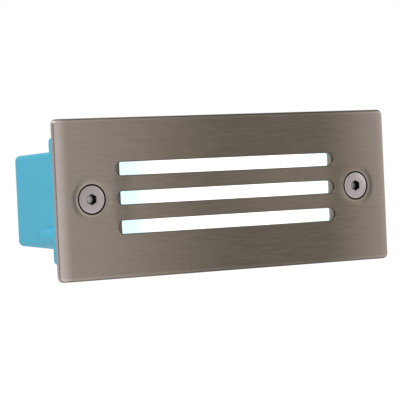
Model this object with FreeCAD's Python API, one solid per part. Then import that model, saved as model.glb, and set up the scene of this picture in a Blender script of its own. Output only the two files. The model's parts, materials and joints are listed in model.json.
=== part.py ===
import FreeCAD, Part

import math
import os

from FreeCAD import Vector

# Recessed step light, in millimetres. X runs along the face plate, Y runs into the wall and Z is up.
# The origin is the middle of the wall opening: the wall's face is the plane y = 0.

# ---------------------------------------------------------------- face plate
plate_width = 170.0
plate_height = 70.0
plate_stand_off = 2.1        # the plate's front stands this far off the wall
sheet = 1.5                  # thickness of the pressed sheet
plate_corner = 2.5           # corner radius seen from the front
plate_bend = 1.8             # outer radius of the bent rim
press_corner = 0.3           # least inner corner radius of the pressed sheet

slot_count = 3
slot_end_land = 4.15         # from the end of a slot to the end of the lens behind it
slot_height = 6.2
slot_pitch = 12.7
slot_corner = 2.8
slot_edge = 0.25             # bevel of a slot's front edge

face_gasket_inset = 0.2
face_gasket_mouth = 0.9      # the gasket stands this far back from the housing's mouth

# ---------------------------------------------------------------- cover screws
screw_inset = 17.0           # from the end of the plate
screw_radius = 3.0           # M6
screw_head_radius = 6.0
screw_head_sunk = 0.3        # the head's top lies this far below the plate's front
screw_length = 24.6
screw_socket = 4.0           # across flats
screw_socket_depth = 2.6
screw_travel = 8.0           # how far the screw backs out before its thread lets go
screw_bevel = 0.7            # at the tip
seat_gap = 0.45              # radial gap between the head's cone and the pressed seat
seat_hole_radius = 3.4              # radius of the hole at the bottom of the seat
dimple_radius = 9.2          # where the plate starts to dip towards the screw
dimple_depth = 0.35          # how deep that dip is where the cone starts
seat_lip = 0.7               # straight hole below the cone
neck_depth = 0.4             # how far the screw is necked for its ring
neck_play = 0.1              # the neck is longer than the ring by this at both ends
ring_outer = 4.3
ring_width = 1.5
ring_below_seat = 1.2        # play left between the seat and the ring with the screw backed out

# ---------------------------------------------------------------- lens
lens_to_screw = 7.7          # from the end of the lens to the middle of the screw
lens_side_gap = 0.6          # between the lens and the housing's mouth, above and below
lens_base = 2.0
lens_corner = 3.0
rib_end_gap = 2.7            # between the end of a rib and the end of its slot
rib_below_front = 1.3        # the ribs' faces lie this far behind the plate's front
rib_gap = 0.2                # between a rib and its slot, above and below
rib_corner = 0.6
rib_wall = 1.7
gasket_thickness = 0.8
gasket_inset = 0.4           # the lens gasket stands this far inside the lens
gasket_margin = 0.4          # and this far back from the slots

stud_radius = 1.5
stud_inset = 2.5             # from the end of the lens
stud_length = 6.5
nut_across_flats = 5.5
nut_height = 2.4

# ---------------------------------------------------------------- housing
flange_inset = 0.5           # the flange ends this far inside the plate's ends
flange_rim_width = 6.7        # from the end of the box to the end of the flange
flange_rim_height = 5.4       # the same above and below
flange_thickness = 4.0
flange_corner = 2.0
box_height = 43.8            # outside, at the flange
box_depth = 60.0
box_corner = 2.6
box_back_edge = 1.0
draft = 1.2                  # degrees
wall = 2.2
back_wall = 2.5

boss_radius = 4.5
boss_length = 21.0           # behind the flange
boss_sunk = 0.8              # the boss's middle lies this far inside the end of the box
boss_z = -16.0
boss_edge = 1.2
boss_pilot_radius = 1.4
boss_pilot_depth = 18.0

pillar_radius = 6.4
pillar_web = 4.0
web_below_seat = 6.0
insert_radius = 4.0
insert_length = 10.0
insert_press = 0.02          # radial room round the inserts and the pressed-in spacers
ring_room = 0.3              # radial gap round the retaining ring in its pillar
tip_room = 4.0               # hole beyond the insert for the screw's tip

# ---------------------------------------------------------------- gear
gear_plate_end_gap = 1.6     # to the screw pillars
gear_plate_side_gap = 2.2    # to the housing's walls at the mouth
gear_plate_thickness = 2.0
gear_plate_front = 17.0      # behind the wall's face
gear_plate_corner = 3.0
gear_post_inset_x = 2.7
gear_post_inset_z = 4.5
gear_post_radius = 3.4
gear_screw_length = 12.0

nut_clearance = 0.45         # between the lens nuts and the light box
light_box_side_gap = 1.7     # to the housing's walls at the mouth
light_box_draft = 5.4        # degrees
light_box_wall = 1.3
light_box_floor = 1.5
light_box_corner = 2.5
mouth_gap = 0.3              # between the lens and the light box's mouth

led_board_end_gap = 2.0      # to the light box's walls
led_board_side_gap = 0.85
board_thickness = 1.6
led_columns = 8
led_end_margin = 4.5         # from the middle of the outermost LEDs to the board's end
led_side_margin = 1.9        # the same to its long side
led_size = 3.0
led_height = 0.7
led_bevel = 0.3
board_screw_length = 5.0
small_screw_radius = 1.5     # M3
small_head_radius = 2.75
small_head_height = 1.8
fit_gap = 0.05               # radial gap of a screw in its hole
play = 0.2                   # radial gap of a screw in a hole it only passes

driver_width = 56.0
driver_height = 31.0
driver_end_margin = 10.0     # from the gear plate's end
driver_stand_off = 6.0
driver_hole_inset = 3.0
stand_off_across_flats = 5.0
stand_off_spigot = 2.0
spigot_root = 0.5            # the spigot's overlap with its spacer
driver_screw_radius = 1.25
driver_screw_length = 6.0
driver_head_radius = 2.3
driver_head_height = 1.5

core_width = 20.0
core_depth = 8.0
core_height = 15.0
core_limb = 3.6
core_yoke = 2.8
bobbin_offset = -2.0         # from the middle of the driver board
bobbin_foot = 1.5
bobbin_gap = 0.2
bobbin_cheek = 0.9
cheek_reach = 2.8            # beyond the core, on both sides
winding_radius = 5.7
capacitor_radius = 4.0
capacitor_height = 15.0
capacitor_offset = 14.5
capacitor_spacing = 13.0
film_length = 10.0
film_width = 5.0
film_height = 9.0
film_corner = 0.6
film_offset = -18.0
film_z = 8.5
choke_radius = 4.2
choke_height = 8.0
choke_flange = 1.4
choke_waist = 0.6
choke_offset = -17.5
choke_z = -8.5
connector_depth = 6.0
connector_height = 7.0
connector_hole_depth = 4.0         # depth of a lead's hole
supply_connector_width = 13.0
output_connector_width = 8.0

terminal_end_margin = 14.0   # from the gear plate's end
terminal_length = 22.0
terminal_height = 14.0
terminal_ways = 3
terminal_pitch = 9.0
terminal_wall = 4.5
terminal_groove = 1.0        # between the ways
groove_depth = 4.0
cage_half = 2.8
cage_wall = 0.9
cage_recess = 1.5            # the cages end this far inside the block
terminal_screw_radius = 1.4
terminal_screw_spacing = 11.0
terminal_fixing_radius = 1.2
ridge_half = 3.4             # half the width of the ridge over each row of screws
ridge_height = 2.0
terminal_slot = 0.6
terminal_head_radius = 2.0
terminal_head_height = 1.2

# ---------------------------------------------------------------- cable entries
entry_x = 18.0               # gland at +x, blanking plug at -x
entry_radius = 10.0          # M20 thread
entry_across_flats = 24.0
entry_inner_length = 8.0     # thread that stands inside the back wall
entry_nut_height = 5.0
thread_bevel = 0.6
washer_width = 2.8
washer_thickness = 1.5
gland_collar = 6.0
gland_thread = 9.0
gland_bore = 7.0
gland_seat = 8.2
seal_bore = 4.5
seal_length = 11.0
slip_washer_inner = 5.6
slip_washer_thickness = 0.8
cap_height = 17.0
cap_flats_height = 8.0
cap_mouth = 6.6
cap_gap = 0.5                # between the cap nut and the collar when it is tight
cap_dome = 3.6
plug_head_radius = 12.5
plug_head_height = 4.0
plug_head_bevel = 1.6
plug_wall = 2.0
plug_slot_length = 16.0
plug_slot_width = 2.0
plug_slot_depth = 1.8

fixing_spacing = 90.0
fixing_hole_radius = 4.0
grommet_flange = 6.2
grommet_flange_thickness = 1.5
grommet_bore = 2.3

# ---------------------------------------------------------------- leads
lead_radius = 0.8
lead_spacing = 6.4           # between line and neutral at the driver
lead_in_connector = 3.0      # how far a lead goes into its connector
lead_in_terminal = 7.5
led_lead_radius = 0.6
led_lead_spacing = 3.2
led_lead_height = 12.6       # how far behind the wall's face the leads enter the light box
led_lead_on_board = 2.5      # how far the leads reach over the LED board
lead_hole_wall = 0.7         # room round the LED leads where they pass the gear plate

# ---------------------------------------------------------------- worked-out places
plate_front = -plate_stand_off
sheet_back = plate_front + sheet
screw_spacing = plate_width - 2 * screw_inset
screw_x = screw_spacing / 2
screw_places = [(-screw_x, 0.0), (screw_x, 0.0)]
flange_width = plate_width - 2 * flange_inset
flange_height = box_height + 2 * flange_rim_height
box_width = flange_width - 2 * flange_rim_width
mouth_width = box_width - 2 * wall
mouth_height = box_height - 2 * wall
boss_x = box_width / 2 - boss_sunk

seat_sum = screw_head_radius + screw_head_sunk + seat_gap  # radius + depth on the cone
cone_start = seat_sum - dimple_depth
cone_end = seat_sum - seat_hole_radius              # depth where the cone meets the hole
seat_bottom = plate_front + cone_end + seat_lip
ring_front = seat_bottom + screw_travel + ring_below_seat
screw_tip = plate_front + screw_head_sunk + screw_length
insert_front = screw_tip - screw_travel
insert_back = insert_front + insert_length

lens_length = screw_spacing - 2 * lens_to_screw
lens_height = mouth_height - 2 * lens_side_gap
slot_length = lens_length - 2 * slot_end_land
slot_rows = [slot_pitch * (row - (slot_count - 1) / 2) for row in range(slot_count)]
rib_length = slot_length - 2 * rib_end_gap
rib_height = slot_height - 2 * rib_gap
rib_front = plate_front + rib_below_front
lens_front = sheet_back + gasket_thickness
lens_back = lens_front + lens_base
stud_spacing_x = lens_length - 2 * stud_inset
stud_spacing_z = slot_pitch

back_face = box_depth
back_inside = box_depth - back_wall
gear_plate_width = screw_spacing - 2 * (pillar_radius + gear_plate_end_gap)
gear_plate_height = mouth_height - 2 * gear_plate_side_gap
gear_plate_back = gear_plate_front + gear_plate_thickness
gear_post_spacing_x = gear_plate_width - 2 * gear_post_inset_x
gear_post_spacing_z = gear_plate_height - 2 * gear_post_inset_z
small_screw = (small_screw_radius, small_head_radius, small_head_height)
light_box_mouth = lens_back + mouth_gap
light_box_width = stud_spacing_x - nut_across_flats - 2 * nut_clearance
light_box_height = mouth_height - 2 * light_box_side_gap
board_back = gear_plate_front - light_box_floor
board_front = board_back - board_thickness
light_box_lean = (board_back - light_box_mouth) * math.tan(math.radians(light_box_draft))
led_board_width = light_box_width - 2 * (light_box_wall + light_box_lean + led_board_end_gap)
led_board_height = light_box_height - 2 * (light_box_wall + light_box_lean + led_board_side_gap)
led_pitch = (led_board_width - 2 * led_end_margin) / (led_columns - 1)
led_row_pitch = (led_board_height - 2 * led_side_margin) / (slot_count - 1)
led_rows = [led_row_pitch * (row - (slot_count - 1) / 2) for row in range(slot_count)]
board_screw_places = [(side * led_pitch * (led_columns - 2) / 2, 0.0) for side in (-1, 1)]

driver_x = -gear_plate_width / 2 + driver_end_margin + driver_width / 2
driver_front = gear_plate_back + driver_stand_off
driver_back = driver_front + board_thickness
bobbin_x = driver_x + bobbin_offset
connector_level = driver_back + connector_height / 2
supply_connector_x = driver_x + driver_width / 2 - connector_depth
output_connector_x = driver_x - driver_width / 2
terminal_x = gear_plate_width / 2 - terminal_end_margin - terminal_length / 2
terminal_level = gear_plate_back + terminal_height / 2
terminal_back = gear_plate_back + terminal_height - ridge_height
terminal_rows = [terminal_pitch * (way - (terminal_ways - 1) / 2) for way in range(terminal_ways)]
terminal_fixings = [(low + high) / 2 for low, high in zip(terminal_rows, terminal_rows[1:])]
terminal_columns = [terminal_x + side * terminal_screw_spacing / 2 for side in (-1, 1)]
terminal_screw_places = [(x, z) for x in terminal_columns for z in terminal_rows]
lead_rows = [-lead_spacing / 2, lead_spacing / 2]
led_lead_rows = [-led_lead_spacing / 2, led_lead_spacing / 2]
lead_hole_x = -gear_post_spacing_x / 2

gland_out = back_face + washer_thickness
collar_out = gland_out + gland_collar
thread_out = collar_out + gland_thread
thread_in = back_inside - entry_inner_length
seal_front = collar_out + 2 * thread_bevel
seal_back = seal_front + seal_length
slip_washer_front = seal_back + 0.1
slip_washer_back = slip_washer_front + slip_washer_thickness


# ---------------------------------------------------------------- shapes
def rectangle(width, height, corner, y, x=0.0, z=0.0):
    """Outline in the plane y, centred on (x, z), with rounded corners."""
    edges = []
    last = None
    first = None
    for quarter in range(4):
        turn = math.radians(90 * quarter)
        side_x = 1 if quarter in (0, 3) else -1
        side_z = 1 if quarter in (0, 1) else -1
        centre_x = x + side_x * (width / 2 - corner)
        centre_z = z + side_z * (height / 2 - corner)
        arc = [
            Vector(centre_x + corner * math.cos(turn + step), y, centre_z + corner * math.sin(turn + step))
            for step in (0, math.pi / 4, math.pi / 2)
        ]
        if last is not None:
            edges.append(Part.makeLine(last, arc[0]))
        edges.append(Part.Arc(*arc).toShape())
        first = first or arc[0]
        last = arc[2]
    edges.append(Part.makeLine(last, first))
    return Part.Wire(edges)


def prism(width, height, corner, y0, y1, x=0.0, z=0.0):
    """Straight rounded block from y0 to y1."""
    outline = rectangle(width, height, corner, y0, x, z)
    return Part.Face(outline).extrude(Vector(0, y1 - y0, 0))


def tapered(width, height, corner, y0, y1, degrees):
    """Rounded block that gets smaller by the draft angle from y0 to y1."""
    lean = (y1 - y0) * math.tan(math.radians(degrees))
    ends = []
    for y, half_x, half_z in ((y0, width / 2, height / 2), (y1, width / 2 - lean, height / 2 - lean)):
        signs = ((1, 1), (-1, 1), (-1, -1), (1, -1))
        ends.append([Vector(sx * half_x, y, sz * half_z) for sx, sz in signs])
    near, far = ends
    rings = [near, far]
    for i in range(4):
        k = (i + 1) % 4
        rings.append([near[i], near[k], far[k], far[i]])
    faces = [Part.Face(Part.makePolygon(ring + ring[:1])) for ring in rings]
    solid = Part.makeSolid(Part.makeShell(faces))
    if solid.Volume < 0:
        solid.reverse()
    slanted = [e for e in solid.Edges if e.BoundBox.YLength > 0.5 * (y1 - y0)]
    return solid.makeFillet(corner, slanted)


def block(x0, x1, y0, y1, z0, z1):
    return Part.makeBox(x1 - x0, y1 - y0, z1 - z0, Vector(x0, y0, z0))


def rod(x, z, radius, y0, y1):
    """Cylinder along Y."""
    return Part.makeCylinder(radius, y1 - y0, Vector(x, y0, z), Vector(0, 1, 0))


def rod_along_x(x0, x1, y, z, radius):
    return Part.makeCylinder(radius, x1 - x0, Vector(x0, y, z), Vector(1, 0, 0))


def tube(x, z, outer, inner, y0, y1):
    return rod(x, z, outer, y0, y1).cut(rod(x, z, inner, y0, y1))


def hexagon(x, z, across_flats, y0, y1):
    """Hexagonal prism along Y, with a corner at the top."""
    reach = across_flats / math.sqrt(3)
    corners = []
    for side in range(7):
        angle = math.radians(90 + 60 * side)
        corners.append(Vector(x + reach * math.cos(angle), y0, z + reach * math.sin(angle)))
    return Part.Face(Part.makePolygon(corners)).extrude(Vector(0, y1 - y0, 0))


def turned(points, x=0.0, z=0.0):
    """Solid turned about the line along Y through (x, z). Each point is (radius, y)."""
    corners = [Vector(x + radius, y, z) for radius, y in points]
    profile = Part.Face(Part.makePolygon(corners + corners[:1]))
    return profile.revolve(Vector(x, 0, z), Vector(0, 1, 0), 360)


def grid(spacing_x, spacing_z):
    """The four corners of a rectangle of holes."""
    return [(sx * spacing_x / 2, sz * spacing_z / 2) for sx in (-1, 1) for sz in (-1, 1)]


def edges_in_plane(shape, y):
    """The edges that lie in the plane of constant y."""
    return [e for e in shape.Edges if abs(e.BoundBox.YMin - y) < 1e-4 and abs(e.BoundBox.YMax - y) < 1e-4]


def plain_nut(x, z, across_flats, y0, y1, bore):
    return hexagon(x, z, across_flats, y0, y1).cut(rod(x, z, bore, y0 - 1, y1 + 1))


def pan_screw(x, z, seat, radius, head_radius, head_height, length, away=-1):
    """Pan-head screw: its head stands on the seat towards away, its shank goes the other way."""
    top = seat + away * head_height
    tip = seat - away * length
    return turned(
        [
            (0, top),
            (head_radius - head_height / 3, top),
            (head_radius, seat),
            (radius, seat),
            (radius, tip),
            (0, tip),
        ],
        x,
        z,
    )


def slotted_outline(margin, y0, y1):
    """The three slots as one set of blocks, each larger by the margin all round."""
    blocks = [
        prism(slot_length + 2 * margin, slot_height + 2 * margin, slot_corner + margin, y0, y1, 0, row)
        for row in slot_rows
    ]
    return Part.makeCompound(blocks)


# ---------------------------------------------------------------- face plate and what it carries
def screw_seat(x, z):
    """The pressed seat of one cover screw: a shallow dip that runs into a cone with a hole."""
    dip = dimple_radius - cone_start
    dip_radius = (dip ** 2 + dimple_depth ** 2) / (2 * dimple_depth)
    half_dip = dip_radius - math.sqrt(dip_radius ** 2 - (dip / 2) ** 2)
    nose = seat_sum + sheet * math.sqrt(2) - (cone_end + seat_lip)
    shoulder = seat_sum + sheet * math.sqrt(2) - sheet

    def at(radius, depth):
        return Vector(x + radius, plate_front + depth, z)

    half_way = at(dimple_radius - dip / 2, half_dip)
    dip_arc = Part.Arc(at(dimple_radius, 0), half_way, at(cone_start, dimple_depth))
    corners = [
        at(cone_start, dimple_depth),
        at(seat_hole_radius, cone_end),
        at(seat_hole_radius, cone_end + seat_lip),
        at(nose, cone_end + seat_lip),
        at(shoulder, sheet),
        at(dimple_radius, sheet),
        at(dimple_radius, 0),
    ]
    edges = [dip_arc.toShape()] + [Part.makeLine(a, b) for a, b in zip(corners, corners[1:])]
    return Part.Face(Part.Wire(edges)).revolve(Vector(x, 0, z), Vector(0, 1, 0), 360)


def face_plate():
    """Sheet pressed into a shallow pan, with three slots, two screw seats and welded studs."""
    pan = prism(plate_width, plate_height, plate_corner, plate_front, 0)
    pan = pan.makeFillet(plate_bend, edges_in_plane(pan, plate_front))
    inner_corner = max(plate_corner - sheet, press_corner)
    inside = prism(plate_width - 2 * sheet, plate_height - 2 * sheet, inner_corner, sheet_back, 1.0)
    plate = pan.cut(inside)
    plate = plate.cut(slotted_outline(0, plate_front - 1, sheet_back + 1))
    front_rims = [
        e for e in edges_in_plane(plate, plate_front)
        if e.BoundBox.XMax < slot_length / 2 + 0.1 and e.BoundBox.XMin > -slot_length / 2 - 0.1
        and e.BoundBox.ZMax < slot_rows[-1] + slot_height / 2 + 0.1
        and e.BoundBox.ZMin > slot_rows[0] - slot_height / 2 - 0.1
    ]
    plate = plate.makeChamfer(slot_edge, front_rims)
    for x, z in screw_places:
        plate = plate.cut(rod(x, z, dimple_radius, plate_front - 1, sheet_back + 1)).fuse(screw_seat(x, z))
    for x, z in grid(stud_spacing_x, stud_spacing_z):
        plate = plate.fuse(rod(x, z, stud_radius, sheet_back, sheet_back + stud_length))
    return plate.removeSplitter()


def face_gasket():
    """Flat foam ring between the plate's back and the housing's flange."""
    outer_width = min(flange_width, plate_width - 2 * plate_bend) - 2 * face_gasket_inset
    outer = prism(outer_width, flange_height - 2 * face_gasket_inset, flange_corner, sheet_back, 0)
    opening_width = mouth_width + 2 * face_gasket_mouth
    opening_height = mouth_height + 2 * face_gasket_mouth
    return outer.cut(prism(opening_width, opening_height, box_corner, sheet_back - 1, 1))


def lens_gasket():
    """Silicone sheet between the plate's back and the lens, open at the three slots."""
    length = lens_length - 2 * gasket_inset
    height = lens_height - 2 * gasket_inset
    sheet_shape = prism(length, height, lens_corner - gasket_inset, sheet_back, lens_front)
    sheet_shape = sheet_shape.cut(slotted_outline(gasket_margin, sheet_back - 1, lens_front + 1))
    for x, z in grid(stud_spacing_x, stud_spacing_z):
        sheet_shape = sheet_shape.cut(rod(x, z, stud_radius + play, sheet_back - 1, lens_front + 1))
    return sheet_shape


def lens():
    """Opal diffuser: a flat base with three hollow ribs that fill the plate's slots."""
    shape = prism(lens_length, lens_height, lens_corner, lens_front, lens_back)
    for row in slot_rows:
        rib = prism(rib_length, rib_height, rib_corner, rib_front, lens_front + lens_base / 2, 0, row)
        shape = shape.fuse(rib)
    half_length = rib_length / 2 - rib_wall
    half_height = rib_height / 2 - rib_wall
    for row in slot_rows:
        low, high = row - half_height, row + half_height
        shape = shape.cut(block(-half_length, half_length, rib_front + rib_wall, lens_back + 1, low, high))
    for x, z in grid(stud_spacing_x, stud_spacing_z):
        shape = shape.cut(rod(x, z, stud_radius + play, lens_front - 1, lens_back + 1))
    return shape.removeSplitter()


def lens_nuts():
    """The four nuts that clamp the lens on the plate's studs."""
    return [
        plain_nut(x, z, nut_across_flats, lens_back, lens_back + nut_height, stud_radius + fit_gap)
        for x, z in grid(stud_spacing_x, stud_spacing_z)
    ]


def cover_screw(x, z):
    """Countersunk socket screw with a necked shank that holds its retaining ring."""
    top = plate_front + screw_head_sunk
    cone_bottom = top + screw_head_radius - screw_radius
    neck = screw_radius - neck_depth
    neck_front = ring_front - neck_play
    neck_back = ring_front + ring_width + neck_play
    shape = turned(
        [
            (0, top),
            (screw_head_radius, top),
            (screw_radius, cone_bottom),
            (screw_radius, neck_front),
            (neck, neck_front),
            (neck, neck_back),
            (screw_radius, neck_back),
            (screw_radius, screw_tip - screw_bevel),
            (screw_radius - screw_bevel, screw_tip),
            (0, screw_tip),
        ],
        x,
        z,
    )
    return shape.cut(hexagon(x, z, screw_socket, top - 1, top + screw_socket_depth))


def retaining_ring(x, z):
    """Ring in the screw's neck: it keeps the loosened screw on the cover."""
    bore = screw_radius - neck_depth + fit_gap
    return tube(x, z, ring_outer, bore, ring_front, ring_front + ring_width)


# ---------------------------------------------------------------- housing
def side_boss(side):
    """Half-round boss low on the side wall behind the flange, with a blind pilot hole."""
    end = flange_thickness + boss_length
    return turned(
        [
            (0, 0.5),
            (boss_radius, 0.5),
            (boss_radius, end - boss_edge),
            (boss_radius - boss_edge, end),
            (0, end),
        ],
        side * boss_x,
        boss_z,
    )


def pillar(side):
    """Screw pillar, from its seat to the back wall, tied to the side wall by a web."""
    root = back_inside + back_wall / 2
    column = rod(side * screw_x, 0, pillar_radius, seat_bottom, root)
    wall_x = box_width / 2 - wall / 2
    near, far = sorted((side * screw_x, side * wall_x))
    web = block(near, far, seat_bottom + web_below_seat, root, -pillar_web / 2, pillar_web / 2)
    web = web.common(tapered(box_width - wall, box_height - wall, box_corner, 0, root, draft))
    return column.fuse(web)


def housing():
    """Moulded recess box with its flange, pillars, gear posts and rear entries."""
    shell = tapered(box_width, box_height, box_corner, 0, back_face, draft)
    shell = shell.makeChamfer(box_back_edge, edges_in_plane(shell, back_face))
    shape = shell.fuse(prism(flange_width, flange_height, flange_corner, 0, flange_thickness))
    for side in (-1, 1):
        shape = shape.fuse(side_boss(side))
    cavity = tapered(mouth_width, mouth_height, box_corner - wall, 0, back_inside, draft)
    shape = shape.cut(cavity)
    for side in (-1, 1):
        shape = shape.fuse(pillar(side))
    for x, z in grid(gear_post_spacing_x, gear_post_spacing_z):
        shape = shape.fuse(rod(x, z, gear_post_radius, gear_plate_back, back_inside + back_wall / 2))
        hole_end = gear_plate_front + gear_screw_length + tip_room / 2
        shape = shape.cut(rod(x, z, small_screw_radius + fit_gap, gear_plate_back - 1, hole_end))
    for x, z in screw_places:
        shape = shape.cut(rod(x, z, ring_outer + ring_room, seat_bottom - 1, insert_front))
        shape = shape.cut(rod(x, z, insert_radius + insert_press, insert_front - 1, insert_back))
        shape = shape.cut(rod(x, z, screw_radius + play, insert_front, screw_tip + tip_room))
    for side in (-1, 1):
        shape = shape.cut(rod(side * boss_x, boss_z, boss_pilot_radius, -1, boss_pilot_depth))
        shape = shape.cut(rod(side * entry_x, 0, entry_radius + play, back_inside - 1, back_face + 1))
        fixing_x = side * fixing_spacing / 2
        shape = shape.cut(rod(fixing_x, 0, fixing_hole_radius, back_inside - 1, back_face + 1))
    return shape.removeSplitter()


def thread_inserts():
    """Brass inserts in the two pillars."""
    bore = screw_radius + fit_gap
    return [tube(x, z, insert_radius, bore, insert_front, insert_back) for x, z in screw_places]


def fixing_grommets():
    """Rubber grommets in the two rear fixing holes."""
    front = back_inside - grommet_flange_thickness
    neck = fixing_hole_radius - fit_gap
    profile = [
        (grommet_bore, front),
        (grommet_flange, front),
        (grommet_flange, back_inside),
        (neck, back_inside),
        (neck, back_face),
        (grommet_bore, back_face),
    ]
    return [turned(profile, side * fixing_spacing / 2, 0) for side in (-1, 1)]


# ---------------------------------------------------------------- light box and gear plate
def gear_plate():
    """Aluminium plate that carries the light box in front and the driver behind."""
    plate = prism(gear_plate_width, gear_plate_height, gear_plate_corner, gear_plate_front, gear_plate_back)
    y0, y1 = gear_plate_front - 1, gear_plate_back + 1
    for x, z in grid(gear_post_spacing_x, gear_post_spacing_z):
        plate = plate.cut(rod(x, z, small_screw_radius + play, y0, y1))
    for x, z in board_screw_places:
        plate = plate.cut(rod(x, z, small_screw_radius + fit_gap, y0, y1))
    for x, z in driver_holes():
        plate = plate.cut(rod(x, z, stand_off_spigot + insert_press, y0, y1))
    for z in terminal_fixings:
        plate = plate.cut(rod(terminal_x, z, terminal_fixing_radius + fit_gap, y0, y1))
    width = 2 * (led_lead_radius + lead_hole_wall)
    return plate.cut(prism(width, led_lead_spacing + width, width * 0.45, y0, y1, lead_hole_x))


def light_box():
    """White reflector box that is open to the lens."""
    size = (light_box_width, light_box_height)
    inner_size = [side - 2 * light_box_wall for side in size]
    inner_corner = light_box_corner - light_box_wall
    shape = tapered(*size, light_box_corner, light_box_mouth, gear_plate_front, light_box_draft)
    shape = shape.cut(tapered(*inner_size, inner_corner, light_box_mouth, board_back, light_box_draft))
    for x, z in board_screw_places:
        shape = shape.cut(rod(x, z, small_screw_radius + play, board_back - 1, gear_plate_front + 1))
    outside = -light_box_width / 2 - 1
    for z in led_lead_rows:
        hole = rod_along_x(outside, -led_board_width / 2, led_lead_height, z, led_lead_radius + play)
        shape = shape.cut(hole)
    return shape


def led_board():
    board = prism(led_board_width, led_board_height, board_thickness, board_front, board_back)
    for x, z in board_screw_places:
        board = board.cut(rod(x, z, small_screw_radius + play, board_front - 1, board_back + 1))
    return board


def leds():
    """A row of square LEDs behind each rib, bevelled in front."""
    packages = []
    half = led_size / 2
    led_front = board_front - led_height
    for column in range(led_columns):
        x = led_pitch * (column - (led_columns - 1) / 2)
        for z in led_rows:
            package = block(x - half, x + half, led_front, board_front, z - half, z + half)
            packages.append(package.makeChamfer(led_bevel, edges_in_plane(package, led_front)))
    return packages


def board_screws():
    """They hold the LED board and the light box to the gear plate."""
    return [pan_screw(x, z, board_front, *small_screw, board_screw_length) for x, z in board_screw_places]


def gear_screws():
    """They hold the gear plate to the housing's posts."""
    places = grid(gear_post_spacing_x, gear_post_spacing_z)
    return [pan_screw(x, z, gear_plate_front, *small_screw, gear_screw_length) for x, z in places]


# ---------------------------------------------------------------- driver
def driver_holes():
    reach_x = driver_width / 2 - driver_hole_inset
    reach_z = driver_height / 2 - driver_hole_inset
    return [(driver_x + sx * reach_x, sz * reach_z) for sx in (-1, 1) for sz in (-1, 1)]


def driver_board():
    board = prism(driver_width, driver_height, board_thickness, driver_front, driver_back, driver_x)
    for x, z in driver_holes():
        board = board.cut(rod(x, z, driver_screw_radius + play, driver_front - 1, driver_back + 1))
    return board


def driver_stand_offs():
    """Hexagon spacers pressed into the gear plate."""
    spacers = []
    root = gear_plate_back + spigot_root
    for x, z in driver_holes():
        spacer = hexagon(x, z, stand_off_across_flats, gear_plate_back, driver_front)
        spacer = spacer.fuse(rod(x, z, stand_off_spigot, gear_plate_front, root))
        spacers.append(spacer.cut(rod(x, z, driver_screw_radius + fit_gap, root, driver_front + 1)))
    return spacers


def driver_screws():
    return [
        pan_screw(x, z, driver_back, driver_screw_radius, driver_head_radius, driver_head_height,
                  driver_screw_length, away=1)
        for x, z in driver_holes()
    ]


def transformer_core():
    """Two E-shaped ferrite halves: an outer frame and a middle limb."""
    front = driver_back + bobbin_foot + bobbin_gap
    back = front + core_height
    half = core_width / 2
    high = core_depth
    frame = block(bobbin_x - half, bobbin_x + half, front, back, -core_depth / 2, core_depth / 2)
    for side in (-1, 1):
        near, far = sorted((side * core_limb / 2, side * (half - core_yoke)))
        window = block(bobbin_x + near, bobbin_x + far, front + core_yoke, back - core_yoke, -high, high)
        frame = frame.cut(window)
    return frame


def transformer_winding():
    """Bobbin with its winding: two cheeks, a wound drum and a foot on the board."""
    front = driver_back + bobbin_foot + core_yoke + 2 * bobbin_gap
    back = front + core_height - 2 * (core_yoke + bobbin_gap)
    half_limb = core_limb / 2 + bobbin_gap
    half_core = core_depth / 2 + bobbin_gap
    half_window = core_width / 2 - core_yoke - bobbin_gap
    half_cheek = half_core + cheek_reach
    shape = rod(bobbin_x, 0, winding_radius, front, back)
    for y in (front, back - bobbin_cheek):
        cheek = block(
            bobbin_x - half_window, bobbin_x + half_window, y, y + bobbin_cheek, -half_cheek, half_cheek
        )
        shape = shape.fuse(cheek)
    limb = block(bobbin_x - half_limb, bobbin_x + half_limb, front - 1, back + 1, -half_core, half_core)
    left, right = bobbin_x - half_window, bobbin_x + half_window
    shape = shape.cut(limb).common(block(left, right, front, back, -half_cheek, half_cheek))
    for side in (-1, 1):
        near, far = sorted((side * half_core, side * half_cheek))
        shape = shape.fuse(block(left, right, driver_back, front + bobbin_cheek, near, far))
    return shape.removeSplitter()


def driver_capacitors():
    """Two standing electrolytic capacitors."""
    top = driver_back + capacitor_height
    x = driver_x + capacitor_offset
    return [rod(x, side * capacitor_spacing / 2, capacitor_radius, driver_back, top) for side in (-1, 1)]


def filter_capacitor():
    x = driver_x + film_offset
    return prism(film_length, film_width, film_corner, driver_back, driver_back + film_height, x, film_z)


def driver_choke():
    """Drum core: two flanges with a winding between them."""
    top = driver_back + choke_height
    low_flange = driver_back + choke_flange
    profile = [
        (0, driver_back),
        (choke_radius, driver_back),
        (choke_radius, low_flange),
        (choke_radius - choke_waist, low_flange),
        (choke_radius - choke_waist, top - choke_flange),
        (choke_radius, top - choke_flange),
        (choke_radius, top),
        (0, top),
    ]
    return turned(profile, driver_x + choke_offset, choke_z)


def connector(x0, width, rows, hole_radius, side):
    """Lead connector on the driver board, open towards its leads: side is 1 for +x and -1 for -x."""
    x1 = x0 + connector_depth
    shape = block(x0, x1, driver_back, driver_back + connector_height, -width / 2, width / 2)
    mouth = x1 if side == 1 else x0
    near, far = sorted((mouth - side * connector_hole_depth, mouth + side))
    for z in rows:
        shape = shape.cut(rod_along_x(near, far, connector_level, z, hole_radius))
    return shape


def supply_connector():
    return connector(supply_connector_x, supply_connector_width, lead_rows, lead_radius + play, 1)


def output_connector():
    rows = led_lead_rows
    return connector(output_connector_x, output_connector_width, rows, led_lead_radius + play, -1)


# ---------------------------------------------------------------- terminal block
def along_x(x, length, y, z, half):
    """Square bar along X, centred on (x, y, z)."""
    return block(x - length / 2, x + length / 2, y - half, y + half, z - half, z + half)


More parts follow.
